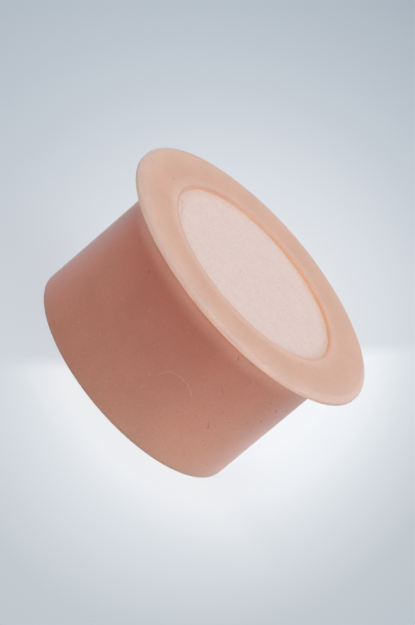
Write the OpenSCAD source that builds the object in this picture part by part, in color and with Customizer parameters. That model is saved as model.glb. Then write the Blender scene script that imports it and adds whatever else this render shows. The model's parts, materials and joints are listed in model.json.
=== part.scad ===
// Flanged rubber stopper. A short straight plug carries a thin, wide flange, and a thin pale
// disc is bonded into the shallow round recess on top of the flange.
// The stopper stands on the end of its plug at z = 0, flange up, and is turned about the Z axis.

/* [Plug] */
// Diameter of the plug
plug_d = 24.4; // [16:0.1:60]
// Length of the plug, from its end face to the underside of the flange
plug_l = 15.2; // [5:0.1:60]
// Radius of the rounded edge round the plug's end face
plug_edge_r = 0.3; // [0.1:0.05:1.5]

/* [Flange] */
// How far the flange reaches out past the plug, all round
flange_overhang = 2.8; // [1.4:0.1:12]
// Thickness of the flange
flange_t = 0.65; // [0.5:0.05:3]
// Radius of the fillet between the plug and the underside of the flange
fillet_r = 0.2; // [0.05:0.05:0.5]
// How far in from the rim the rounding of the upper edge begins
rim_round_w = 0.75; // [0.1:0.05:1.2]
// How far down the rim that rounding ends
rim_round_h = 0.4; // [0.1:0.05:0.45]

/* [Recess] */
// Distance from the side of the plug in to the wall of the recess
recess_inset = 2.2; // [0.5:0.05:5]
// Depth of the recess, from the top of the flange to the face of the disc
recess_depth = 0.35; // [0.25:0.05:2.5]
// Radius of the rounded lip of the recess
lip_r = 0.2; // [0.05:0.05:0.25]

/* [Face disc] */
// Thickness of the disc
disc_t = 0.3; // [0.1:0.05:1.5]
// Gap between the edge of the disc and the wall of the recess
disc_gap = 0.02; // [0.01:0.01:0.2]
// Radius of the rounded upper edge of the disc
disc_edge_r = 0.05; // [0.01:0.01:0.08]

/* [Hidden] */

// Facets of the turned shapes, and steps in each quarter of an arc
turn_fn = 180;
arc_steps = 8;

// Radii and heights that follow from the sizes above
plug_r = plug_d / 2;
flange_r = plug_r + flange_overhang;
recess_r = plug_r - recess_inset;
disc_r = recess_r - disc_gap;
top_z = plug_l + flange_t;
disc_top_z = top_z - recess_depth;
seat_z = disc_top_z - disc_t;

// Points of an arc from angle a to angle b, round or oval, about a centre in the r-z plane
function arc(centre, r_across, r_up, a, b) = [
    for (i = [0:arc_steps])
        let (t = a + (b - a) * i / arc_steps)
        centre + [r_across * cos(t), r_up * sin(t)]
];

function round_arc(centre, r, a, b) = arc(centre, r, r, a, b);

// Half section of the moulded body, from the axis round the outside and back down the recess
function body_outline() = concat(
    [[0, 0]],
    round_arc([plug_r - plug_edge_r, plug_edge_r], plug_edge_r, -90, 0),
    round_arc([plug_r + fillet_r, plug_l - fillet_r], fillet_r, 180, 90),
    [[flange_r, plug_l]],
    arc([flange_r - rim_round_w, top_z - rim_round_h], rim_round_w, rim_round_h, 0, 90),
    round_arc([recess_r + lip_r, top_z - lip_r], lip_r, 90, 180),
    [[recess_r, seat_z], [0, seat_z]]
);

// Half section of the disc, from its seat up to its face
function disc_outline() = concat(
    [[0, seat_z], [disc_r, seat_z]],
    round_arc([disc_r - disc_edge_r, disc_top_z - disc_edge_r], disc_edge_r, 0, 90),
    [[0, disc_top_z]]
);

// Plug and flange, moulded in one piece of salmon-pink rubber
module stopper_body() {
    color([0.80, 0.60, 0.53])
    rotate_extrude($fn = turn_fn) polygon(body_outline());
}

// Pale matt disc, seated on the floor of the recess
module face_disc() {
    color([0.88, 0.81, 0.79])
    rotate_extrude($fn = turn_fn) polygon(disc_outline());
}

stopper_body();
face_disc();
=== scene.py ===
"""Flanged rubber stopper: a turned body of salmon-pink rubber with a pale matt disc in its flange."""
import json
import math

import bpy
from bpy.props import FloatProperty, FloatVectorProperty, IntProperty, PointerProperty, StringProperty
from mathutils import Matrix, Vector
from mathutils.bvhtree import BVHTree


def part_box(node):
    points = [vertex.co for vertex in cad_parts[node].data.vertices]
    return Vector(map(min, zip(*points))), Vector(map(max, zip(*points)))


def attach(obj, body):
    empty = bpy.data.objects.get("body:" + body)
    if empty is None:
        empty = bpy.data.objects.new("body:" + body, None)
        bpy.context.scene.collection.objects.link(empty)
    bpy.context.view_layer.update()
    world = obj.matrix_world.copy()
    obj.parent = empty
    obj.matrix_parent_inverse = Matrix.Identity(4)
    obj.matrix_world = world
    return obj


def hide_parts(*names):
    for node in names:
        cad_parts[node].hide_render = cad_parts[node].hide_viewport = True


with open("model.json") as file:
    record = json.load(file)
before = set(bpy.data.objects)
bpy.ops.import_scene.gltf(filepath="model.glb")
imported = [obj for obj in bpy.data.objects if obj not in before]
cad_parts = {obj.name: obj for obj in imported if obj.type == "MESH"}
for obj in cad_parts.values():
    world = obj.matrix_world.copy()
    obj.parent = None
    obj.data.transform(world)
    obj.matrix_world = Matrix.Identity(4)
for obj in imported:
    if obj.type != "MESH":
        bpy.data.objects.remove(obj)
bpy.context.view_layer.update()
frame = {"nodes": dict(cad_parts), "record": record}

bl_info = {
    "name": "Rubber stopper",
    "version": (1, 0, 0),
    "blender": (4, 5, 0),
    "location": "View3D > Sidebar > Stopper",
    "description": "Builds a flanged rubber stopper, its dust and its studio around the packed solids",
    "category": "Object",
}

MM = 0.001
BODY = "root"

# The photograph's frame, in pixels, and the camera's sensor along its longer side, in millimetres
PHOTO_WIDE, PHOTO_HIGH = 415, 625
SENSOR = 36

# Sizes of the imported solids, in metres
MOUNTS = {mount["name"]: mount for mount in frame["record"]["mounts"]}
FLANGE_RADIUS = min(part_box("stopper_body")[1].x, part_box("stopper_body")[1].y)
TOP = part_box("stopper_body")[1].z
PLUG_RADIUS = MOUNTS["plug"]["dims"]["r_mm"] * MM
FLANGE_UNDER = MOUNTS["flange_seat"]["pos_m"][2]
DISC_SEAT, DISC_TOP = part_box("face_disc")[0].z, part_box("face_disc")[1].z
DISC_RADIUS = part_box("face_disc")[1].x

# Lint and dust, as pixels of the photograph. A fibre is its relative thickness and a chain of pixels.
# A crumb is a pixel and the crumb's radius in hundredths of a millimetre.
PALE_FIBRES = (
    (0.65, (155.3, 377.8), (159.1, 374.0), (165.2, 372.2), (171.0, 371.2), (174.4, 373.4), (179.8, 376.8),
     (185.1, 381.8), (188.6, 386.0), (190.5, 390.2), (191.6, 394.0), (192.3, 396.3)),
    (1.0, (247.1, 370.3), (250.9, 374.5), (252.9, 378.7), (253.9, 382.5), (253.2, 384.8), (251.7, 386.5)),
    (0.7, (55.7, 319.4), (57.2, 322.5), (58.7, 326.7)), (0.4, (234.8, 378.7), (231.5, 381.4)),
    (0.8, (251.7, 434.2), (256.7, 430.7)), (0.5, (119.6, 286.2), (121.3, 285.6), (122.6, 285.8)),
    (0.5, (199.0, 327.6), (200.0, 327.0), (201.2, 326.8)))
DARK_FIBRES = (
    (0.5, (222.3, 382.2), (221.3, 385.6), (222.0, 389.4), (223.6, 392.5), (223.4, 394.0)),
    (0.35, (260.2, 377.9), (263.5, 380.9)), (1.2, (274.9, 412.6), (276.8, 410.1)),
    (0.7, (195.0, 415.0), (197.0, 416.5)), (0.6, (122.0, 381.3), (124.2, 380.6)),
    (1.0, (238.5, 356.4), (238.5, 360.4)), (0.7, (49.0, 301.2), (47.6, 303.4)),
    (0.6, (202.5, 471.7), (201.4, 473.0)), (0.7, (208.5, 422.3), (208.1, 427.0)),
    (0.35, (142.4, 429.6), (139.2, 430.6), (137.6, 432.4), (138.6, 434.2)),
    (0.6, (171.7, 176.6), (175.9, 180.8)), (0.6, (149.4, 156.1), (151.2, 159.2), (153.8, 163.2)),
    (0.5, (150.3, 153.8), (151.8, 153.4), (153.4, 154.7)), (0.6, (172.6, 207.4), (174.4, 208.8)),
    (0.6, (300.6, 361.6), (301.7, 363.8), (303.6, 364.6)), (0.4, (197.0, 248.5), (198.6, 251.0)),
    (0.6, (178.8, 198.0), (181.9, 201.1), (184.6, 204.7)),
    (0.45, (183.0, 205.0), (182.4, 209.6), (181.0, 215.0)))
PALE_CRUMBS = (
    (191.6, 394.0, 4), (251.9, 386.3, 5), (196.2, 457.5, 6), (78.8, 322.3, 6), (78.8, 319.0, 4),
    (86.8, 318.9, 3), (59.5, 287.5, 4), (120.3, 297.8, 4), (125.9, 301.3, 5), (108.5, 335.1, 4),
    (100.0, 334.0, 4), (141.4, 386.6, 5), (97.8, 383.3, 4), (54.9, 310.6, 3), (149.0, 311.5, 5),
    (84.4, 285.0, 4), (149.6, 375.0, 5), (234.9, 359.6, 4), (242.5, 366.3, 4), (90.0, 272.2, 4),
    (175.3, 157.2, 4))
DARK_CRUMBS = (
    (149.0, 272.0, 10), (208.0, 427.5, 9), (261.0, 421.2, 8), (271.1, 403.6, 7), (262.4, 406.3, 5),
    (286.5, 411.5, 7), (247.8, 422.6, 7), (266.5, 418.8, 5), (250.7, 430.8, 7), (264.3, 415.6, 5),
    (229.6, 422.3, 5), (277.0, 405.3, 5), (222.5, 412.4, 6), (177.5, 411.6, 4), (152.6, 429.4, 5),
    (181.5, 436.1, 4), (202.7, 440.7, 5), (234.3, 428.6, 5), (210.2, 356.7, 6), (225.3, 385.6, 5),
    (224.2, 403.6, 5), (253.2, 396.7, 5), (69.5, 306.9, 5), (80.6, 305.6, 4), (54.8, 290.5, 4),
    (100.5, 313.7, 4), (207.1, 464.2, 5), (218.6, 459.9, 5), (269.4, 368.4, 3), (263.8, 363.8, 5),
    (296.0, 374.4, 4), (300.1, 375.4, 4), (341.1, 369.6, 4), (317.5, 377.6, 4), (334.4, 390.4, 4),
    (331.7, 380.8, 4), (318.1, 380.5, 4), (334.2, 399.5, 4), (142.2, 181.7, 4), (149.2, 173.5, 4),
    (154.3, 203.0, 4), (165.0, 202.7, 4), (176.6, 192.2, 4))
CRUMB_UNIT = 0.01 * MM

# Points closer together than this, in metres, are one point, and edges sharper than this stay sharp
WELD = 1e-6
SHARP = math.radians(40)
# Noise round the flange: its scale, and the part of it that sags the flange or nicks the rim
SAG_WAVES, SAG_PART = 1.3, (0.3, 0.7)
NICK_WAVES, NICK_PART = 28.0, (0.60, 0.72)
# A nick reaches this far from the sharp lower rim
NICK_REACH = 0.1 * MM
RIM_SEED, PALE_SEED, DARK_SEED = 3.0, 5, 11
# The bead round the disc: how far it reaches up and down at the wall, and how far its two tips lie in
# from the disc's edge and above the disc's face
BEAD_HALF = 0.04 * MM
BEAD_TIP = ((0.06 * MM, 0.003 * MM), (0.05 * MM, -0.02 * MM))
# How thick a fibre is at its ends, as a share of its middle. It lies on the surface where that is level,
# and stands proud of it where the normal's Z is less than this.
FIBRE_END = 0.55
LEVEL = 0.5

# How the colours lie. A mark is a number of millimetres and the colour there, which blends evenly into the
# next. A tint is a colour laid over others, the way it is mixed in, and its spans. A span names a measure,
# and says at which number it begins and is full, and its least and greatest share if not 0 and 1. The
# measures are X, Y and Z in millimetres, up (the height above the flange's underside), radius (from the
# axis), aside (X without its sign), depth (Z, less where the deep tone sits higher), and noise or facing
# from 0 to 1.
# Painted shade and light: the plug is coloured deep under the flange and paler down towards its end, and on
# its left the paler tones reach higher
DEEP_TONE_LIFT = (("X", -4, -10, 0, 1.5),)
PLUG_MARKS = ((6, "plug_mid"), (12.5, "plug"))
# Every plug tint is painted light: floor light on the end and its edge, light through the flange on the neck,
# a pale wash on the right, and sheen and glow on the flanks
PLUG_TINTS = (
    ("plug_end", "MIX", ("Z", 6, 0), ("X", -8, 2)),
    ("blush", "MIX", ("Z", 0.6, 0.05, 0, 0.5)),
    ("neck", "MIX", ("Z", 12.2, 13.9)),
    ("bloom", "MIX", ("X", -4, 12, 0, 0.22)),
    # Painted sheen on both flanks, then at the right and at the left end of the neck
    ("haze", "MIX", ("aside", 9.8, 12.0, 0, 0.08), ("Z", 2, 7, 0.3, 1.2)),
    ("haze", "MIX", ("X", 7.5, 10, 0, 0.10), ("Z", 11.8, 13)),
    ("haze", "MIX", ("X", -6.5, -10, 0, 0.2), ("Z", 12.2, 13.3)),
    ("flush_left", "MIX", ("X", -8.5, -11.8, 0, 0.2)),
    ("flush_right", "MIX", ("X", 6, 11.5, 0, 0.14)))
# Painted shade darkens the plug towards the middle, but not in its neck, where painted light from the thin
# flange falls
PLUG_SHADED = (("aside", 11, 1),)
NECK_LIT = (("aside", 6.5, 3), ("Z", 13.2, 13.9))
# Above the plug, each zone of the rubber has the measure that its marks follow, marks, tints and a place
ABOVE_PLUG = ("up", -0.25, -0.05)
# Painted light: the flange is paler than the plug, and paler still where it is thin and light shows through
# it; the neck's painted light lies on its underside, and a painted pale glow lies round the lip, strongest on
# the near side
FLANGE_ZONE = (
    "radius", ((12.4, "flange"), (14.2, "thin")),
    (("neck", "MIX", ("up", 0.04, 0)), ("lip", "MIX", ("Y", 4, -4, 0.5, 1.0), ("radius", 11.5, 10.4))),
    (ABOVE_PLUG,))
# Painted glow: the wall is orange and brightest at its foot; painted shade dims its left and its far foot
WALL_ZONE = (
    "up", ((0.30, "wall_foot_glow"), (0.45, "wall"), (0.55, "wall_lip"), (0.65, "wall_top")),
    (("wall_cool", "MULTIPLY", ("X", 5, -1)), ("wall_far", "MULTIPLY", ("up", 0.40, 0.30), ("Y", 6, 9))),
    (ABOVE_PLUG, ("radius", 10.42, 10.22)))
# Painted glow on the rim's foot and side, and a painted highlight on its rounding; painted sheen lies on its
# right, and painted shade on its far side, about its middle and on all but its left
RIM_ZONE = (
    "up", ((-0.02, "rim_foot"), (0.08, "rim_low"), (0.16, "rim_side"), (0.25, "rim_turn"), (0.35, "rim_high"),
           (0.45, "rim_highlight"), (0.53, "rim")),
    (("haze", "MIX", ("X", 9, 14, 0, 0.25)), ("rim_far", "MULTIPLY", ("Y", 2, 10)),
     ("rim_near", "MULTIPLY", ("aside", 8, 3)), ("rim_dim", "MULTIPLY", ("X", -10, -4))),
    (ABOVE_PLUG, ("radius", 14.2, 14.5)))
# Fine patterns have a grain in millimetres, a number of finer layers, and a tint
RUBBER_PATTERNS = (
    (4, 4, ("cloud", "MULTIPLY", ("noise", 0.35, 0.65))),
    (0.35, 1, ("fleck_pale", "MIX", ("noise", 0.70, 0.80, 0, 0.2))),
    (0.17, 1, ("sand", "MULTIPLY", ("noise", 0.35, 0.65))))
DISC_PATTERNS = ((1.2, 3, ("disc", "MIX", ("noise", 0.3, 0.7))),)
DISC_TINTS = (("disc_pale", "MIX", ("noise", 0.42, 0.62, 0, 0.8)),
              # Painted warm shade at the disc's edge, next to the pink wall
              ("disc_edge", "MULTIPLY", ("radius", 8.75, 9.92)))
LINT_PATTERNS = ((0.5, 1, ("lint_worn", "MIX", ("noise", 0.35, 0.65, 0, 0.35))),)
# How rough the rubber is, how much light goes into it, and where its gloss shows
SATIN = (("noise", 0.3, 0.7, 0.40, 0.48),)
LIGHT_INSIDE = (("radius", 14.0, 14.6, 1.0, 0.4), ("radius", 10.3, 10.02, 1.0, 0.3))
RIM_FOOT = (("radius", 14.5, 14.9), ("up", 0.22, 0.06))
PLUG_SIDE = (("up", -0.05, -0.25), ("Z", 0, 7, 0.4, 1.0))
BROAD_GLOSS = (("facing", 0.45, 1.0, 0, 0.28), *PLUG_SIDE)
EDGE_GLOSS = (("facing", 0.78, 1.0, 0, 0.28), *PLUG_SIDE)
# Sizes of the grain in the rubber's gloss, of its skin and of the disc, and the height of their bumps
SATIN_GRAIN, SKIN_GRAIN, DISC_GRAIN = 1.5 * MM, 0.25 * MM, 0.15 * MM
SKIN_BUMP, DISC_BUMP = 0.003 * MM, 0.012 * MM

# The floor's paint is a painted pool of light: it goes from light to dark away from the stopper, in ovals
# about a middle, at the far side and at the near side of a line. Painted light makes it whiter right beside
# the stopper, at the near side.
FLOOR_MIDDLE, FLOOR_OVAL = (-3, -9.7, 0), (1, 0.37, 0)
FAR_MARKS = ((4, "#E5E7EA"), (12, "#E0E3E7"), (17, "#D9DDE3"), (27, "#C6CDD5"), (36, "#BAC3CC"))
NEAR_MARKS = ((12, "#F4F6F9"), (16, "#ECEFF3"), (20, "#DADFE4"), (27, "#C3CAD0"), (50, "#AFB9C3"))
FLOOR_START, FLOOR_END = 4, 50
LINE_NORMAL, PAST_LINE = (0.957, -0.29, 0), (("across", -0.4, -2.8),)
BY_STOPPER = ("radius", 25, 12.5)
# Painted light on the floor beside the stopper, on its left and near sides, where its shadow falls
PAINTED_LIGHT_SPANS = ((("X", 3, -4, 0, 0.12), BY_STOPPER), (("Y", 0, -8, 0, 0.25), BY_STOPPER))
WHITE = "#FFFFFF"
FLOOR_HALF = 2.2
CLIP_NEAR, CLIP_FAR = 0.01, 10
# Softboxes: name, place and size in metres, and watts. They face the middle of the stopper.
LAMPS = (("top_softbox", (0.05, 0.10, 0.60), 0.55, 2.95), ("side_softbox", (0.50, -0.30, 0.14), 0.40, 1.62),
         ("front_softbox", (-0.30, -0.50, 0.14), 0.40, 1.42))
LAMP_AIM = Vector((0, 0, 0.008))
# The upward part of a direction at which the light from low down has given way to that from overhead
OVERHEAD = 0.7


# Colours and nodes

def linear(code):
    """An sRGB colour written as hex, turned to linear RGBA."""
    parts = [int(code[i:i + 2], 16) / 255 for i in (1, 3, 5)]
    return (*(c / 12.92 if c <= 0.04045 else ((c + 0.055) / 1.055) ** 2.4 for c in parts), 1.0)


def add(tree, kind, inputs=None, **settings):
    """Adds one node: settings are its attributes, inputs are values or other nodes' outputs by socket."""
    node = tree.nodes.new(kind)
    for name, value in settings.items():
        setattr(node, name, value)
    for key, value in (inputs or {}).items():
        if isinstance(value, bpy.types.NodeSocket):
            tree.links.new(value, node.inputs[key])
        else:
            node.inputs[key].default_value = value
    return node


def new_material(name):
    """An empty node material with its output, and the place of each point on its piece."""
    material = bpy.data.materials.new(name)
    material.use_nodes = True
    tree = material.node_tree
    tree.nodes.clear()
    output = add(tree, "ShaderNodeOutputMaterial")
    place = add(tree, "ShaderNodeTexCoord").outputs["Object"]
    return material, tree, output, place


def measures(tree, place):
    """The measures of a place that tints and marks follow, in millimetres."""
    point = add(tree, "ShaderNodeVectorMath", {0: place, "Scale": 1 / MM}, operation="SCALE").outputs[0]
    spot = add(tree, "ShaderNodeSeparateXYZ", {0: point}).outputs
    flat = add(tree, "ShaderNodeCombineXYZ", {"X": spot["X"], "Y": spot["Y"]}).outputs[0]
    radius = add(tree, "ShaderNodeVectorMath", {0: flat}, operation="LENGTH").outputs["Value"]
    aside = add(tree, "ShaderNodeMath", {0: spot["X"]}, operation="ABSOLUTE").outputs[0]
    up = add(tree, "ShaderNodeMath", {0: spot["Z"], 1: FLANGE_UNDER / MM}, operation="SUBTRACT").outputs[0]
    return {"point": point, "X": spot["X"], "Y": spot["Y"], "Z": spot["Z"], "radius": radius, "aside": aside,
            "up": up}


def reach(tree, where, spans):
    """How strong something is at a place: the shares that these spans give there, multiplied."""
    strength = None
    for measure, begins, full, *ends in spans:
        least, greatest = ends or (0.0, 1.0)
        share = add(tree, "ShaderNodeMapRange", {
            "Value": where[measure], "From Min": begins, "From Max": full,
            "To Min": least, "To Max": greatest}, interpolation_type="SMOOTHSTEP").outputs["Result"]
        strength = share if strength is None else add(
            tree, "ShaderNodeMath", {0: strength, 1: share}, operation="MULTIPLY").outputs[0]
    return strength


def tinted(tree, colour, where, colours, tints):
    """A colour with these tints laid over it, one after another."""
    for name, way, *spans in tints:
        colour = add(tree, "ShaderNodeMix", {
            0: reach(tree, where, spans), 6: colour, 7: linear(getattr(colours, name))},
            data_type="RGBA", blend_type=way).outputs[2]
    return colour


def patterned(tree, place, colour, colours, patterns):
    """A colour with these fine patterns of noise laid over it, one after another."""
    for grain, layers, tint in patterns:
        noise = add(tree, "ShaderNodeTexNoise", {"Vector": place, "Scale": 1 / (grain * MM),
                                                 "Detail": layers}).outputs["Fac"]
        colour = tinted(tree, colour, {"noise": noise}, colours, (tint,))
    return colour


def graded(tree, value, marks):
    """A colour that blends evenly from each mark to the next, as a value passes their numbers."""
    low, high = marks[0][0], marks[-1][0]
    share = add(tree, "ShaderNodeMapRange", {"Value": value, "From Min": low, "From Max": high})
    node = add(tree, "ShaderNodeValToRGB", {"Fac": share.outputs["Result"]})
    elements = node.color_ramp.elements
    for mark, code in marks[1:-1]:
        elements.new((mark - low) / (high - low)).color = linear(code)
    elements[0].color, elements[-1].color = linear(marks[0][1]), linear(marks[-1][1])
    return node.outputs["Color"]


def zone_colour(tree, where, colours, measure, marks, tints):
    """The colour of one zone of the rubber: its marks, with its tints laid over them."""
    codes = [(at, getattr(colours, name)) for at, name in marks]
    return tinted(tree, graded(tree, where[measure], codes), where, colours, tints)


def rubber_colour(tree, place, where, colours):
    """The colours carry painted light and shade. The plug is painted deepest below its neck and paler down to
    its end, where painted light from the floor falls, most on the right; painted light from the thin flange
    lies on its neck, and painted sheen and glow on its two flanks. The flange is painted paler than the plug,
    and paler still where there is no plug under it, as painted light through the thin rubber, and its rim and
    the recess's wall have painted glow and highlights."""
    lift = reach(tree, where, DEEP_TONE_LIFT)
    where["depth"] = add(tree, "ShaderNodeMath", {0: where["Z"], 1: lift}, operation="SUBTRACT").outputs[0]
    colour = zone_colour(tree, where, colours, "depth", PLUG_MARKS, PLUG_TINTS)
    middle, lit = reach(tree, where, PLUG_SHADED), reach(tree, where, NECK_LIT)
    shaded = add(tree, "ShaderNodeMath", {0: middle, 1: lit}, operation="SUBTRACT").outputs[0]
    colour = add(tree, "ShaderNodeMix", {0: shaded, 6: colour, 7: linear(colours.shade)},
                 data_type="RGBA", blend_type="MULTIPLY").outputs[2]
    for measure, marks, tints, spans in (FLANGE_ZONE, WALL_ZONE, RIM_ZONE):
        zone = zone_colour(tree, where, colours, measure, marks, tints)
        colour = add(tree, "ShaderNodeMix", {0: reach(tree, where, spans), 6: colour, 7: zone},
                     data_type="RGBA").outputs[2]
    return patterned(tree, place, colour, colours, RUBBER_PATTERNS)


def rubber_material(colours):
    """Moulded silicone rubber, pigmented salmon pink. It is satin, because the mould was fine-blasted, and
    light goes a millimetre or two into it, so the thick plug looks deep and the thin flange pale; its colours
    add painted light and shade to both."""
    material, tree, output, place = new_material("Moulded silicone rubber")
    where = measures(tree, place)
    satin = add(tree, "ShaderNodeTexNoise", {"Vector": place, "Scale": 1 / SATIN_GRAIN}).outputs["Fac"]
    skin = add(tree, "ShaderNodeTexNoise", {"Vector": place, "Scale": 1 / SKIN_GRAIN, "Detail": 3})
    bump = add(tree, "ShaderNodeBump", {
        "Height": skin.outputs["Fac"], "Distance": SKIN_BUMP, "Strength": 1.0})
    # Light goes in less at the rim and at the recess's wall, and not at all at the rim's foot
    away = add(tree, "ShaderNodeMath", {0: 1.0, 1: reach(tree, where, RIM_FOOT)},
               operation="SUBTRACT").outputs[0]
    inside = add(tree, "ShaderNodeMath", {0: reach(tree, where, LIGHT_INSIDE), 1: away},
                 operation="MULTIPLY").outputs[0]
    rubber = add(tree, "ShaderNodeBsdfPrincipled", {
        "Base Color": rubber_colour(tree, place, where, colours), "Normal": bump.outputs["Normal"],
        "Roughness": reach(tree, {"noise": satin}, SATIN), "IOR": 1.5,
        "Sheen Weight": 0.3, "Sheen Roughness": 0.35, "Subsurface Weight": inside,
        "Subsurface Radius": (1.0, 0.5, 0.35), "Subsurface Scale": 1.5 * MM})
    # A satin gloss whitens the plug's side, but only where it turns away
    where["facing"] = add(tree, "ShaderNodeLayerWeight", {"Blend": 0.5}).outputs["Facing"]
    broad, narrow = reach(tree, where, BROAD_GLOSS), reach(tree, where, EDGE_GLOSS)
    turning = add(tree, "ShaderNodeMath", {0: broad, 1: narrow}, operation="ADD").outputs[0]
    gloss = add(tree, "ShaderNodeBsdfGlossy", {"Color": linear(colours.gloss), "Roughness": 0.5})
    surface = add(tree, "ShaderNodeMixShader", {
        0: turning, 1: rubber.outputs["BSDF"], 2: gloss.outputs["BSDF"]})
    tree.links.new(surface.outputs[0], output.inputs["Surface"])
    return material


def disc_material(colours):
    """A pressed, porous disc with a fine paper-like grain: quite matt, pale, and a little pink."""
    material, tree, output, place = new_material("Porous pressed disc")
    grain = add(tree, "ShaderNodeTexNoise", {"Vector": place, "Scale": 1 / DISC_GRAIN, "Detail": 2,
                                             "Roughness": 0.7}).outputs["Fac"]
    where = {**measures(tree, place), "noise": grain}
    colour = patterned(tree, place, linear(colours.disc_deep), colours, DISC_PATTERNS)
    bump = add(tree, "ShaderNodeBump", {"Height": grain, "Distance": DISC_BUMP, "Strength": 1.0})
    shader = add(tree, "ShaderNodeBsdfPrincipled", {
        "Base Color": tinted(tree, colour, where, colours, DISC_TINTS), "Normal": bump.outputs["Normal"],
        "Roughness": 0.85, "IOR": 1.40})
    tree.links.new(shader.outputs["BSDF"], output.inputs["Surface"])
    return material


def lint_material(name, colours, code):
    """Dust: short cotton fibres and crumbs, quite matt. They are drawn twice as thick as real lint, and
    nearer to the colour of the rubber, because a real fibre is thinner than a pixel of the render."""
    material, tree, output, place = new_material(name)
    shader = add(tree, "ShaderNodeBsdfPrincipled", {
        "Base Color": patterned(tree, place, linear(code), colours, LINT_PATTERNS),
        "Roughness": 0.9, "IOR": 1.45})
    tree.links.new(shader.outputs["BSDF"], output.inputs["Surface"])
    return material


def floor_material(stage):
    """Floor paint, quite matt, with a painted pool of light round the stopper. The eye and reflections see it
    lit evenly, and it keeps its shadows, though painted light thins them right beside the stopper.
    """
    material, tree, output, place = new_material("Painted studio floor")
    where = measures(tree, place)
    oval = add(tree, "ShaderNodeMapping", {"Vector": where["point"], "Location": FLOOR_MIDDLE,
                                           "Scale": FLOOR_OVAL}).outputs[0]
    away = add(tree, "ShaderNodeVectorMath", {0: oval}, operation="LENGTH").outputs["Value"]
    far = graded(tree, away, (*FAR_MARKS, (FLOOR_END, stage.floor_far)))
    near = graded(tree, away, ((FLOOR_START, stage.floor), *NEAR_MARKS))
    # Painted light beside the stopper, over its shadow
    lit_beside = add(tree, "ShaderNodeMath", {0: reach(tree, where, PAINTED_LIGHT_SPANS[0]), 1: reach(tree, where, PAINTED_LIGHT_SPANS[1])},
                 operation="ADD").outputs[0]
    near = add(tree, "ShaderNodeMix", {0: lit_beside, 6: near, 7: linear(WHITE)}, data_type="RGBA").outputs[2]
    where["across"] = add(tree, "ShaderNodeVectorMath", {0: where["point"], 1: LINE_NORMAL},
                          operation="DOT_PRODUCT").outputs["Value"]
    paint = add(tree, "ShaderNodeMix", {0: reach(tree, where, PAST_LINE), 6: near, 7: far},
                data_type="RGBA").outputs[2]
    lit = add(tree, "ShaderNodeMix", {0: 1.0, 6: paint, 7: linear(stage.floor_lit)},
              data_type="RGBA", blend_type="MULTIPLY").outputs[2]
    lift = add(tree, "ShaderNodeMath", {0: seen_rays(tree), 1: stage.floor_lift},
               operation="MULTIPLY").outputs[0]
    surface = add(tree, "ShaderNodeAddShader", {
        0: add(tree, "ShaderNodeBsdfDiffuse", {"Color": lit}).outputs[0],
        1: add(tree, "ShaderNodeEmission", {"Color": paint, "Strength": lift}).outputs[0]})
    tree.links.new(surface.outputs[0], output.inputs["Surface"])
    return material


def seen_rays(tree):
    """One for the rays that show the backdrop, to the eye or in a reflection, and nought for the rest."""
    rays = add(tree, "ShaderNodeLightPath").outputs
    seen = rays["Is Camera Ray"]
    for kind in ("Is Glossy Ray", "Is Transmission Ray"):
        seen = add(tree, "ShaderNodeMath", {0: seen, 1: rays[kind]}, operation="MAXIMUM").outputs[0]
    return seen


# Shapes

def arc(centre, across, up, start, end, steps):
    """Points of a quarter arc, round or oval, in the r-z plane, angles in degrees."""
    angles = [math.radians(start + (end - start) * i / steps) for i in range(steps + 1)]
    return [(centre[0] + across * math.cos(a), centre[1] + up * math.sin(a)) for a in angles]


def joined(points, step):
    """The outline with extra points on each straight run, no further apart than step."""
    outline = [points[0]]
    for (r0, z0), (r1, z1) in zip(points, points[1:]):
        count = max(1, math.ceil(math.hypot(r1 - r0, z1 - z0) / step))
        outline += [(r0 + (r1 - r0) * i / count, z0 + (z1 - z0) * i / count) for i in range(1, count + 1)]
    return outline


def body_section(sizes):
    """Half section of the moulded body, from the axis round the outside and back down the recess."""
    steps = sizes.arc_steps
    edge, fillet, lip = sizes.plug_edge, sizes.fillet, sizes.lip
    inward, drop = sizes.rim_reach, sizes.rim_drop
    wall, top = DISC_RADIUS + sizes.disc_gap, TOP - sizes.set_down
    return joined(
        [(0, 0)]
        + arc((PLUG_RADIUS - edge, edge), edge, edge, -90, 0, steps)
        + arc((PLUG_RADIUS + fillet, FLANGE_UNDER - fillet), fillet, fillet, 180, 90, steps)
        + [(FLANGE_RADIUS, FLANGE_UNDER)]
        + arc((FLANGE_RADIUS - inward, top - drop), inward, drop, 0, 90, steps)
        + arc((wall + lip, top - lip), lip, lip, 90, 180, steps)
        # A fine bead of rubber closes the gap round the disc and laps over its edge
        + [(wall, DISC_TOP + BEAD_HALF)]
        + [(DISC_RADIUS - lap, DISC_TOP + above) for lap, above in BEAD_TIP]
        + [(wall, DISC_TOP - BEAD_HALF), (wall, DISC_SEAT), (0, DISC_SEAT)], sizes.run_step)


def new_tree(name, start, floats=(), counts=(), objects=()):
    """A Geometry Nodes tree whose inputs are a start mesh, these numbers and objects, and a material."""
    tree = bpy.data.node_groups.new(name, "GeometryNodeTree")
    for label, kind in ((start, "Geometry"), *((label, "Float") for label in floats),
                        *((label, "Int") for label in counts), *((label, "Object") for label in objects),
                        ("Material", "Material")):
        tree.interface.new_socket(label, in_out="INPUT", socket_type="NodeSocket" + kind)
    tree.interface.new_socket("Made", in_out="OUTPUT", socket_type="NodeSocketGeometry")
    return tree, add(tree, "NodeGroupInput").outputs


def finished(tree, given, solid):
    """Ends a tree: instances are realised, and the material is set."""
    solid = add(tree, "GeometryNodeRealizeInstances", {"Geometry": solid}).outputs[0]
    solid = add(tree, "GeometryNodeSetMaterial", {"Geometry": solid, "Material": given["Material"]})
    add(tree, "NodeGroupOutput", {0: solid.outputs[0]})
    return tree


def stored(tree, name, kind="FLOAT"):
    """A value that the start mesh holds for each point."""
    return add(tree, "GeometryNodeInputNamedAttribute", {"Name": name}, data_type=kind).outputs["Attribute"]


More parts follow.
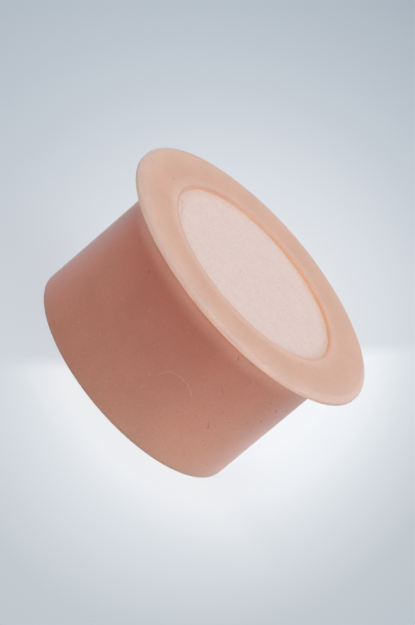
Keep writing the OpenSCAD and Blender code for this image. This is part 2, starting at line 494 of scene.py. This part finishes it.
def turned_tree():
    """Geometry Nodes that turn a half section about Z, sag the thin flange and nick its lower rim."""
    tree, given = new_tree("Turned body", "Section",
                           ("Sag", "Sag starts", "Rim", "Rim height", "Nick", "Seed"), ("Turns",))
    # A grid goes once round the axis along its X, and along the section on its Y
    count = add(tree, "GeometryNodeAttributeDomainSize", {"Geometry": given["Section"]}).outputs[0]
    last = add(tree, "ShaderNodeMath", {0: count, 1: 1.0}, operation="SUBTRACT").outputs[0]
    columns = add(tree, "ShaderNodeMath", {0: given["Turns"], 1: 1.0}, operation="ADD").outputs[0]
    grid = add(tree, "GeometryNodeMeshGrid", {"Size X": 1.0, "Size Y": 1.0, "Vertices X": columns,
                                              "Vertices Y": count}).outputs["Mesh"]
    here = add(tree, "GeometryNodeInputPosition").outputs[0]
    flat = add(tree, "ShaderNodeSeparateXYZ", {0: here}).outputs
    angle, along = (
        add(tree, "ShaderNodeMapRange", {"Value": side, "From Min": -0.5, "From Max": 0.5,
                                         "To Max": end}).outputs["Result"]
        for side, end in ((flat["X"], math.tau), (flat["Y"], last)))
    index = add(tree, "FunctionNodeFloatToInt", {0: along}, rounding_mode="ROUND").outputs[0]
    place = add(tree, "GeometryNodeSampleIndex", {
        "Geometry": given["Section"], "Value": here, "Index": index},
        data_type="FLOAT_VECTOR", domain="POINT").outputs["Value"]
    spoke = add(tree, "ShaderNodeCombineXYZ", {"X": 1.0, "Z": given["Seed"]}).outputs[0]
    round_way = add(tree, "ShaderNodeVectorRotate", {"Vector": spoke, "Angle": angle},
                    rotation_type="Z_AXIS").outputs[0]

    def wave(waves, part, most):
        value = add(tree, "ShaderNodeTexNoise", {"Vector": round_way, "Scale": waves, "Detail": 1.0})
        return add(tree, "ShaderNodeMapRange", {
            "Value": value.outputs["Fac"], "From Min": part[0], "From Max": part[1],
            "To Max": most}).outputs["Result"]

    out = add(tree, "ShaderNodeSeparateXYZ", {0: place}).outputs["X"]
    sag = add(tree, "ShaderNodeMapRange", {
        "Value": out, "From Min": given["Sag starts"], "From Max": given["Rim"],
        "To Max": wave(SAG_WAVES, SAG_PART, given["Sag"])}, interpolation_type="SMOOTHSTEP").outputs["Result"]
    corner = add(tree, "ShaderNodeCombineXYZ", {"X": given["Rim"], "Z": given["Rim height"]}).outputs[0]
    from_corner = add(tree, "ShaderNodeVectorMath", {0: place, 1: corner},
                      operation="DISTANCE").outputs["Value"]
    nick = add(tree, "ShaderNodeMapRange", {
        "Value": from_corner, "From Min": NICK_REACH, "From Max": 0.0,
        "To Max": wave(NICK_WAVES, NICK_PART, given["Nick"])}).outputs["Result"]
    lost = add(tree, "ShaderNodeCombineXYZ", {"X": nick, "Z": sag}).outputs[0]
    shaped = add(tree, "ShaderNodeVectorMath", {0: place, 1: lost}, operation="SUBTRACT").outputs["Vector"]
    turned = add(tree, "ShaderNodeVectorRotate", {"Vector": shaped, "Angle": angle},
                 rotation_type="Z_AXIS").outputs[0]
    solid = add(tree, "GeometryNodeSetPosition", {"Geometry": grid, "Position": turned}).outputs[0]
    solid = add(tree, "GeometryNodeMergeByDistance", {"Geometry": solid, "Distance": WELD}).outputs[0]
    bend = add(tree, "GeometryNodeInputMeshEdgeAngle").outputs[0]
    sharp = add(tree, "FunctionNodeCompare", {"A": bend, "B": SHARP}, operation="GREATER_THAN",
                data_type="FLOAT").outputs[0]
    solid = add(tree, "GeometryNodeSetShadeSmooth", {"Geometry": solid, "Shade Smooth": True},
                domain="FACE").outputs[0]
    solid = add(tree, "GeometryNodeSetShadeSmooth", {
        "Geometry": solid, "Selection": sharp, "Shade Smooth": False}, domain="EDGE").outputs[0]
    return finished(tree, given, solid)


def fibre_tree():
    """Geometry Nodes that thicken each chain of edges into a closed fibre, with its own thickness."""
    tree, given = new_tree("Fibres", "Chains", counts=("Sides",))
    curve = add(tree, "GeometryNodeMeshToCurve", {"Mesh": given["Chains"]}).outputs[0]
    round_wire = add(tree, "GeometryNodeCurvePrimitiveCircle", {"Resolution": given["Sides"], "Radius": 1.0},
                     mode="RADIUS").outputs[0]
    solid = add(tree, "GeometryNodeCurveToMesh", {
        "Curve": curve, "Profile Curve": round_wire, "Scale": stored(tree, "size"),
        "Fill Caps": True}).outputs[0]
    return finished(tree, given, solid)


def crumb_tree():
    """Geometry Nodes that put a low crumb on each placed spot, and on seeded spots all over the body."""
    tree, given = new_tree("Crumbs", "Spots",
                           ("Density", "Smallest", "Largest", "Flatness", "Inner edge", "Foot"),
                           ("Seed",), ("Carrier",))
    crumb = add(tree, "GeometryNodeMeshIcoSphere", {"Radius": 1.0, "Subdivisions": 1}).outputs["Mesh"]

    def crumbs(points, normal, size):
        turn = add(tree, "FunctionNodeAlignRotationToVector", {"Vector": normal}, axis="Z").outputs[0]
        low = add(tree, "ShaderNodeMath", {0: size, 1: given["Flatness"]}, operation="MULTIPLY").outputs[0]
        scale = add(tree, "ShaderNodeCombineXYZ", {"X": size, "Y": size, "Z": low}).outputs[0]
        return add(tree, "GeometryNodeInstanceOnPoints", {
            "Points": points, "Instance": crumb, "Rotation": turn, "Scale": scale}).outputs[0]

    placed = crumbs(add(tree, "GeometryNodeMeshToPoints", {"Mesh": given["Spots"]}).outputs[0],
                    stored(tree, "normal", "FLOAT_VECTOR"), stored(tree, "size"))
    carrier = add(tree, "GeometryNodeObjectInfo", {"Object": given["Carrier"]}).outputs["Geometry"]
    place = add(tree, "GeometryNodeInputPosition").outputs[0]
    spot = add(tree, "ShaderNodeSeparateXYZ", {0: place}).outputs
    flat = add(tree, "ShaderNodeCombineXYZ", {"X": spot["X"], "Y": spot["Y"]}).outputs[0]
    away = add(tree, "ShaderNodeVectorMath", {0: flat}, operation="LENGTH").outputs["Value"]
    outside, above = (
        add(tree, "FunctionNodeCompare", {"A": value, "B": least}, operation="GREATER_THAN",
            data_type="FLOAT").outputs[0]
        for value, least in ((away, given["Inner edge"]), (spot["Z"], given["Foot"])))
    open_face = add(tree, "FunctionNodeBooleanMath", {0: outside, 1: above}, operation="AND").outputs[0]
    spread = add(tree, "GeometryNodeDistributePointsOnFaces", {
        "Mesh": carrier, "Selection": open_face, "Density": given["Density"], "Seed": given["Seed"]},
        distribute_method="RANDOM").outputs
    size = add(tree, "FunctionNodeRandomValue", {
        2: given["Smallest"], 3: given["Largest"], "Seed": given["Seed"]}, data_type="FLOAT").outputs[1]
    strewn = crumbs(spread["Points"], spread["Normal"], size)
    both = add(tree, "GeometryNodeJoinGeometry", {0: placed})
    tree.links.new(strewn, both.inputs[0])
    return finished(tree, given, both.outputs[0])


def shown(name, data):
    """A new object at the origin that holds this mesh."""
    piece = bpy.data.objects.new(name, data)
    bpy.context.scene.collection.objects.link(piece)
    return piece


def grown(name, start, tree, values):
    """Runs a Geometry Nodes tree on a mesh, and returns the result as a plain piece."""
    seed = shown(name + "_seed", start)
    modifier = seed.modifiers.new("Grow", "NODES")
    modifier.node_group = tree
    names = {item.name: item.identifier for item in tree.interface.items_tree if item.in_out == "INPUT"}
    for key, value in values.items():
        modifier[names[key]] = value
    seed.update_tag()
    made = bpy.data.meshes.new_from_object(seed.evaluated_get(bpy.context.evaluated_depsgraph_get()))
    made.name = name
    seed.modifiers.remove(modifier)
    bpy.data.objects.remove(seed)
    bpy.data.meshes.remove(start)
    return shown(name, made)


def camera_basis(stage):
    """The camera's right, up and backward directions. It faces +Y, raised and rolled."""
    lift, roll = stage.elevation, stage.roll
    level, upright = Vector((1, 0, 0)), Vector((0, math.sin(lift), math.cos(lift)))
    right = level * math.cos(roll) + upright * math.sin(roll)
    up = upright * math.cos(roll) - level * math.sin(roll)
    return right, up, Vector((0, -math.cos(lift), math.sin(lift)))


def line_of_sight(stage, pieces):
    """A function that finds a pixel's place on these pieces, and the surface's normal there."""
    right, up, back = camera_basis(stage)
    eye = Vector(stage.aim) + back * stage.distance
    focus = stage.lens / SENSOR * PHOTO_HIGH
    skins = [BVHTree.FromPolygons([v.co for v in piece.data.vertices],
                                  [face.vertices for face in piece.data.polygons]) for piece in pieces]

    def hit(across, down):
        way = (right * (across - PHOTO_WIDE / 2) - up * (down - PHOTO_HIGH / 2)) / focus - back
        found = [skin.ray_cast(eye, way.normalized()) for skin in skins]
        found = [item for item in found if item[0] is not None]
        if not found:
            raise RuntimeError(f"no surface of the stopper at pixel {across}, {down}")
        return min(found, key=lambda item: item[3])[:2]

    return hit


def eased(corners, steps=5):
    """A smooth path through these pixels."""
    path = []
    ends = (corners[0], *corners, corners[-1])
    for a, b, c, d in zip(ends, ends[1:], ends[2:], ends[3:]):
        for t in (i / steps for i in range(steps)):
            path.append([0.5 * (2 * q + (r - p) * t + (2 * p - 5 * q + 4 * r - s) * t ** 2
                                + (3 * q - p - 3 * r + s) * t ** 3) for p, q, r, s in zip(a, b, c, d)])
    return path + [corners[-1]]


def marked(name, places, edges, sizes, normals=None):
    """A mesh of points, with the size of each and the normal under it, for a tree to grow on."""
    data = bpy.data.meshes.new(name)
    data.from_pydata(places, edges, [])
    data.attributes.new("size", "FLOAT", "POINT").data.foreach_set("value", sizes)
    if normals:
        data.attributes.new("normal", "FLOAT_VECTOR", "POINT").data.foreach_set(
            "vector", [part for normal in normals for part in normal])
    return data


def chains(name, hit, fibres, thick, proud):
    """Each fibre as a chain of edges laid on the surface, thinner at its ends."""
    places, edges, sizes = [], [], []
    for share, *pixels in fibres:
        path = eased(pixels)
        for i, pixel in enumerate(path):
            place, normal = hit(*pixel)
            if i:
                edges.append((len(places) - 1, len(places)))
            places.append(place + normal * (proud if normal.z < LEVEL else 0))
            swell = math.sin(math.pi * (i + 0.5) / len(path))
            sizes.append(thick * share * (FIBRE_END + (1 - FIBRE_END) * swell))
    return marked(name, places, edges, sizes)


def spots(name, hit, crumbs):
    """Each crumb's place on the surface, its normal and its radius."""
    found = [(*hit(across, down), size * CRUMB_UNIT) for across, down, size in crumbs]
    places, normals, sizes = zip(*found)
    return marked(name, places, [], sizes, normals)


# Settings

class StopperSizes(bpy.types.PropertyGroup):
    """Sizes of the body's section that a user may change."""
    plug_edge: FloatProperty(name="Plug edge", description="Radius of the edge round the plug's end face",
                             default=0.1 * MM, unit="LENGTH")
    fillet: FloatProperty(name="Fillet", description="Radius of the fillet under the flange",
                          default=0.2 * MM, unit="LENGTH")
    rim_reach: FloatProperty(name="Rim reach", description="How far in from the rim its rounding begins",
                             default=0.75 * MM, unit="LENGTH")
    rim_drop: FloatProperty(name="Rim drop", description="How far down the rim its rounding ends",
                            default=0.4 * MM, unit="LENGTH")
    lip: FloatProperty(name="Lip", description="Radius of the recess's rounded lip", default=0.2 * MM,
                       unit="LENGTH")
    disc_gap: FloatProperty(name="Disc gap", description="Gap round the disc in its recess",
                            default=0.02 * MM, unit="LENGTH")
    set_down: FloatProperty(name="Set down", description="Room between the flange and the box, for dust",
                            default=0.02 * MM, unit="LENGTH")
    sag: FloatProperty(name="Sag", description="Most that the thin flange droops at its rim",
                       default=0.05 * MM, unit="LENGTH")
    nick: FloatProperty(name="Nick", description="Depth of the nicks where the flash was trimmed",
                        default=0.05 * MM, unit="LENGTH")
    run_step: FloatProperty(name="Run step", description="Most that points on a straight run lie apart",
                            default=0.4 * MM, unit="LENGTH")
    fibre: FloatProperty(name="Fibre", description="Radius of a fibre of lint", default=0.018 * MM,
                         unit="LENGTH")
    fibre_sides: IntProperty(name="Fibre sides", description="Faces round a fibre", default=6)
    crumb_low: FloatProperty(name="Smallest crumb", description="Radius of the smallest strewn crumb",
                             default=0.014 * MM, unit="LENGTH")
    crumb_high: FloatProperty(name="Largest crumb", description="Radius of the largest strewn crumb",
                              default=0.034 * MM, unit="LENGTH")
    flatness: FloatProperty(name="Flatness", description="Height of a crumb as a share of its width",
                            default=0.3)
    pale_density: FloatProperty(name="Pale crumbs", description="Strewn pale crumbs on a square metre",
                                default=2.2e5)
    dark_density: FloatProperty(name="Dark crumbs", description="Strewn dark crumbs on a square metre",
                                default=1.2e5)
    arc_steps: IntProperty(name="Arc steps", description="Steps in each quarter arc", default=10)
    turns: IntProperty(name="Turns", description="Faces round the body", default=360)


class StopperColours(bpy.types.PropertyGroup):
    """Colours of the rubber, the disc and the dust, as sRGB hex."""
    # Painted shade and light: the plug is deep under the flange and paler half-way down
    plug: StringProperty(name="Plug", description="The thick plug next to the flange", default="#DB856B")
    plug_mid: StringProperty(name="Plug middle", description="The plug half-way down", default="#E1977E")
    # Painted light from the floor on the plug's end, most on the right
    plug_end: StringProperty(name="Plug end", description="The plug at its end face", default="#E8A68D")
    # Painted light that shines through the thin flange onto the neck and the flange's underside
    neck: StringProperty(name="Neck",
                         description="The plug under the thin flange, which light shines through",
                         default="#FAB49A")
    # Painted sheen on the plug's flanks, at the ends of its neck and on the rim's right
    haze: StringProperty(name="Haze",
                         description="The whitish haze on the flanks, the neck's ends and the rim",
                         default="#F3D4CF")
    # Painted glow on the plug's flanks, redder on the left and paler on the right
    flush_left: StringProperty(name="Left flush", description="The redder glow of the plug's left flank",
                               default="#FF8878")
    flush_right: StringProperty(name="Right flush", description="The paler glow of its right flank",
                                default="#FFB4A4")
    # Painted shade on the middle of the plug's side
    shade: StringProperty(name="Shade", description="Multiplies the middle of the plug's side",
                          default="#EDEDED")
    gloss: StringProperty(name="Gloss", description="The satin gloss on the plug's side", default="#FFE9E4")
    # Painted light from the floor on the edge of the plug's end
    blush: StringProperty(name="Blush",
                          description="The edge of the plug's end, which the floor shines into",
                          default="#FFAB92")
    # Painted light: a pale wash over the plug, strongest on its right side
    bloom: StringProperty(name="Bloom",
                          description="The faint powdery bloom that dulls one side of the plug",
                          default="#EBCDB8")
    # Painted light: the flange is paler than the plug, and the thin flange paler still, as light shows
    # through it
    flange: StringProperty(name="Flange", description="The flange over the plug", default="#CA9A82")
    thin: StringProperty(name="Thin flange", description="The thin flange outside the plug",
                         default="#CAA490")
    # Painted glow round the lip, strongest on the near side
    lip: StringProperty(name="Lip", description="The flange next to the recess, on the near side",
                        default="#D0AC99")
    # Painted glow in the recess's wall, brightest at its foot, and on its rounding
    wall_foot_glow: StringProperty(name="Wall foot", description="The foot of the recess's wall",
                              default="#F1C1A1")
    wall: StringProperty(name="Wall", description="The wall of the recess", default="#E2B48E")
    wall_lip: StringProperty(name="Wall lip", description="The wall where it rounds over", default="#D19A7D")
    wall_top: StringProperty(name="Wall top", description="The top of that rounding", default="#CD9884")
    # Painted shade, dimmer and cooler, on the left of the wall
    wall_cool: StringProperty(name="Cool wall", description="Multiplies the left of the wall",
                              default="#F1F5FF")
    # Painted shade at the foot of the far wall
    wall_far: StringProperty(name="Far wall", description="Multiplies the foot of the far wall",
                             default="#F7F1E9")
    # Painted glow on the rim's foot and side, and a painted highlight on its rounding
    rim_foot: StringProperty(name="Rim foot", description="The sharp lower rim", default="#FFDDC6")
    rim_low: StringProperty(name="Rim low", description="The rim just above it", default="#FFD7C1")
    rim_side: StringProperty(name="Rim side", description="The side of the rim", default="#FBCFBA")
    rim_turn: StringProperty(name="Rim turn", description="The rim where its rounding begins",
                             default="#F3CBB9")
    rim_high: StringProperty(name="Rim high", description="The steep part of the rounding",
                             default="#DAB6A7")
    rim_highlight: StringProperty(name="Rim shine", description="The rounding's brightest part",
                              default="#CEAFA4")
    rim: StringProperty(name="Rim", description="The rounding of the rim", default="#C8A797")
    # Painted shade on the far side of the rim
    rim_far: StringProperty(name="Far rim", description="Multiplies the far side of the rim",
                            default="#FFE6D3")
    # Painted shade on the rim about its middle
    rim_near: StringProperty(name="Near rim", description="Multiplies the rim about its middle",
                             default="#FBF9F8")
    # Painted shade on all but the left of the rim
    rim_dim: StringProperty(name="Dim rim", description="Multiplies all but the left of the rim",
                            default="#F7F7F7")
    cloud: StringProperty(name="Cloud", description="Multiplies broad faint clouds in the rubber",
                          default="#FAF8F7")
    sand: StringProperty(name="Sand", description="Multiplies the fine grain of the rubber",
                         default="#F8F7F6")
    fleck_pale: StringProperty(name="Pale fleck", description="Pale flecks in the rubber", default="#E2B7A6")
    disc: StringProperty(name="Disc", description="The disc", default="#D1BAB3")
    disc_deep: StringProperty(name="Deep disc", description="The disc, where it is deepest",
                              default="#CDB6AE")
    disc_pale: StringProperty(name="Pale disc", description="The high grain of the disc", default="#D8C5BE")
    # Painted warm shade at the disc's edge, next to the pink wall
    disc_edge: StringProperty(name="Disc edge", description="Multiplies the edge of the disc",
                              default="#FBF4EF")
    lint_pale: StringProperty(name="Pale lint", description="Pale cotton fibres and dust", default="#EED2C6")
    lint_dark: StringProperty(name="Dark lint", description="Dark hairs and grit", default="#6E4035")
    lint_worn: StringProperty(name="Worn lint",
                              description="Parts of the lint where the rubber shows through",
                              default="#C99B86")


class StopperStage(bpy.types.PropertyGroup):
    """The camera and the studio."""
    aim: FloatVectorProperty(name="Aim", description="Point in the middle of the picture",
                             default=(-0.035 * MM, -2.17 * MM, 10.41 * MM), subtype="TRANSLATION")
    distance: FloatProperty(name="Distance", description="From the aim to the camera", default=372.9 * MM,
                            unit="LENGTH")
    elevation: FloatProperty(name="Elevation", description="Angle of the view above the flange",
                             default=math.radians(21.73), subtype="ANGLE")
    roll: FloatProperty(name="Roll", description="Turn of the camera about its line of sight",
                        default=math.radians(49.62), subtype="ANGLE")
    lens: FloatProperty(name="Lens", description="Focal length in millimetres, on a 36 mm sensor",
                        default=230.4)
    # The floor colours are the two ends of a painted pool of light round the stopper
    floor: StringProperty(name="Floor", description="Colour of the floor at the stopper", default="#F5F5F7")
    floor_far: StringProperty(name="Far floor", description="Colour of the floor away from it",
                              default="#AAB4BE")
    floor_lit: StringProperty(name="Lit floor", description="Multiplies the paint that the lamps light",
                              default="#6E6E6E")
    floor_lift: FloatProperty(name="Floor lift",
                              description="How far the floor is lifted to white, to the eye", default=0.825)
    backdrop: StringProperty(name="Backdrop", description="Colour behind the floor", default="#D8DFE4")
    ambient: FloatProperty(name="Ambient", description="Level of the light from overhead", default=0.4)
    horizon: FloatProperty(name="Horizon", description="Level of the light from low down all round",
                           default=1.0)


# Pieces

class STOPPER_OT_body(bpy.types.Operator):
    """The moulded body: plug, thin flange and recess in one turned piece"""
    bl_idname = "stopper.body"
    bl_label = "Moulded body"

    def execute(self, context):
        sizes = context.scene.stopper_sizes
        outline = body_section(sizes)
        section = bpy.data.meshes.new("body_section")
        section.from_pydata([(r, 0, z) for r, z in outline], [], [])
        body = grown("moulded_body", section, turned_tree(), {
            "Turns": sizes.turns, "Sag": sizes.sag, "Sag starts": PLUG_RADIUS, "Rim": FLANGE_RADIUS,
            "Rim height": FLANGE_UNDER, "Nick": sizes.nick, "Seed": RIM_SEED,
            "Material": rubber_material(context.scene.stopper_colours)})
        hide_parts("stopper_body")
        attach(body, BODY)
        return {"FINISHED"}


class STOPPER_OT_disc(bpy.types.Operator):
    """The pale disc in the recess, with its paper-like grain"""
    bl_idname = "stopper.disc"
    bl_label = "Face disc"

    def execute(self, context):
        disc = frame["nodes"]["face_disc"]
        for slot in disc.material_slots:
            slot.link = "OBJECT"
            slot.material = disc_material(context.scene.stopper_colours)
        return {"FINISHED"}


class STOPPER_OT_fibres(bpy.types.Operator):
    """Pale lint and dark hairs on the plug, the flange and the disc"""
    bl_idname = "stopper.fibres"
    bl_label = "Lint and hairs"

    def execute(self, context):
        sizes, colours = context.scene.stopper_sizes, context.scene.stopper_colours
        hit = line_of_sight(context.scene.stopper_stage,
                            [bpy.data.objects["moulded_body"], frame["nodes"]["face_disc"]])
        tree = fibre_tree()
        for name, fibres, material in (
                ("pale_lint", PALE_FIBRES, lint_material("Cotton lint", colours, colours.lint_pale)),
                ("dark_hairs", DARK_FIBRES, lint_material("Dark hair", colours, colours.lint_dark))):
            piece = grown(name, chains(name + "_chains", hit, fibres, sizes.fibre, sizes.fibre), tree,
                          {"Sides": sizes.fibre_sides, "Material": material})
            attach(piece, BODY)
        return {"FINISHED"}


class STOPPER_OT_dust(bpy.types.Operator):
    """Pale dust and dark grit on the plug and the flange"""
    bl_idname = "stopper.dust"
    bl_label = "Dust and grit"

    def execute(self, context):
        sizes, colours = context.scene.stopper_sizes, context.scene.stopper_colours
        body = bpy.data.objects["moulded_body"]
        hit = line_of_sight(context.scene.stopper_stage, [body, frame["nodes"]["face_disc"]])
        tree = crumb_tree()
        for name, crumbs, density, seed, material in (
                ("pale_dust", PALE_CRUMBS, sizes.pale_density, PALE_SEED,
                 lint_material("Cotton dust", colours, colours.lint_pale)),
                ("dark_grit", DARK_CRUMBS, sizes.dark_density, DARK_SEED,
                 lint_material("Dark grit", colours, colours.lint_dark))):
            piece = grown(name, spots(name + "_spots", hit, crumbs), tree, {
                "Density": density, "Smallest": sizes.crumb_low, "Largest": sizes.crumb_high,
                "Flatness": sizes.flatness,
                "Inner edge": DISC_RADIUS + sizes.lip * 2, "Foot": sizes.plug_edge, "Seed": seed,
                "Carrier": body, "Material": material})
            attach(piece, BODY)
        return {"FINISHED"}


# Stage

def photo_camera(stage):
    """The photograph's camera, as the scene's own."""
    right, up, back = camera_basis(stage)
    camera = bpy.data.objects.new("camera", bpy.data.cameras.new("camera"))
    camera.data.sensor_width = SENSOR
    camera.data.lens = stage.lens
    camera.data.clip_start, camera.data.clip_end = CLIP_NEAR, CLIP_FAR
    camera.matrix_world = Matrix.Translation(
        Vector(stage.aim) + back * stage.distance) @ Matrix((right, up, back)).transposed().to_4x4()
    bpy.context.scene.collection.objects.link(camera)
    bpy.context.scene.camera = camera


def studio_floor(stage):
    """A level floor under the stopper, which reaches far past the picture."""
    low, high = -FLOOR_HALF, FLOOR_HALF
    ground = bpy.data.meshes.new("floor")
    ground.from_pydata([(low, low, 0), (high, low, 0), (high, high, 0), (low, high, 0)], [], [(0, 1, 2, 3)])
    ground.materials.append(floor_material(stage))
    shown("floor", ground)


def softbox(name, place, size, watts):
    """A square softbox that faces the stopper."""
    light = bpy.data.lights.new(name, "AREA")
    light.size, light.energy = size, watts
    box = bpy.data.objects.new(name, light)
    box.location = place
    box.rotation_mode = "QUATERNION"
    box.rotation_quaternion = (LAMP_AIM - Vector(place)).to_track_quat("-Z", "Y")
    box.visible_camera = False
    bpy.context.scene.collection.objects.link(box)


def surroundings(stage):
    """Soft light from all round, strongest from low down, with an even backdrop to the eye."""
    world = bpy.data.worlds.new("Studio")
    bpy.context.scene.world = world
    world.use_nodes = True
    tree = world.node_tree
    tree.nodes.clear()
    way = add(tree, "ShaderNodeSeparateXYZ", {0: add(tree, "ShaderNodeTexCoord").outputs["Generated"]})
    level = add(tree, "ShaderNodeMapRange", {"Value": way.outputs["Z"], "From Min": 0.0, "From Max": OVERHEAD,
                                             "To Min": stage.horizon, "To Max": stage.ambient},
                interpolation_type="SMOOTHSTEP").outputs[0]
    level = add(tree, "ShaderNodeMix", {0: seen_rays(tree), 2: level, 3: 1.0}).outputs[0]
    sky = add(tree, "ShaderNodeBackground", {"Color": linear(stage.backdrop), "Strength": level})
    add(tree, "ShaderNodeOutputWorld", {"Surface": sky.outputs[0]})


class STOPPER_OT_stage(bpy.types.Operator):
    """The pale floor, the soft lamps, the surroundings and the camera"""
    bl_idname = "stopper.stage"
    bl_label = "Studio stage"

    def execute(self, context):
        stage = context.scene.stopper_stage
        photo_camera(stage)
        studio_floor(stage)
        for lamp in LAMPS:
            softbox(*lamp)
        surroundings(stage)
        context.scene.view_settings.view_transform = "Standard"
        return {"FINISHED"}


class STOPPER_PT_panel(bpy.types.Panel):
    """Lists the pieces of the stopper in the 3D view's sidebar"""
    bl_idname = "STOPPER_PT_panel"
    bl_label = "Rubber stopper"
    bl_space_type = "VIEW_3D"
    bl_region_type = "UI"
    bl_category = "Stopper"

    def draw(self, context):
        for step in STEPS:
            self.layout.operator(step.bl_idname)
        for group in ("stopper_sizes", "stopper_colours", "stopper_stage"):
            settings = getattr(context.scene, group)
            for name in settings.__annotations__:
                self.layout.prop(settings, name)


STEPS = (STOPPER_OT_stage, STOPPER_OT_body, STOPPER_OT_disc, STOPPER_OT_fibres, STOPPER_OT_dust)
GROUPS = {"stopper_sizes": StopperSizes, "stopper_colours": StopperColours, "stopper_stage": StopperStage}


def register():
    for item in (*GROUPS.values(), *STEPS, STOPPER_PT_panel):
        bpy.utils.register_class(item)
    for name, group in GROUPS.items():
        setattr(bpy.types.Scene, name, PointerProperty(type=group))


def unregister():
    for name in GROUPS:
        delattr(bpy.types.Scene, name)
    for item in reversed((*GROUPS.values(), *STEPS, STOPPER_PT_panel)):
        bpy.utils.unregister_class(item)


def main():
    register()
    bpy.ops.stopper.stage()
    bpy.ops.stopper.body()
    bpy.ops.stopper.disc()
    bpy.ops.stopper.fibres()
    bpy.ops.stopper.dust()


if __name__ == "__main__":
    main()
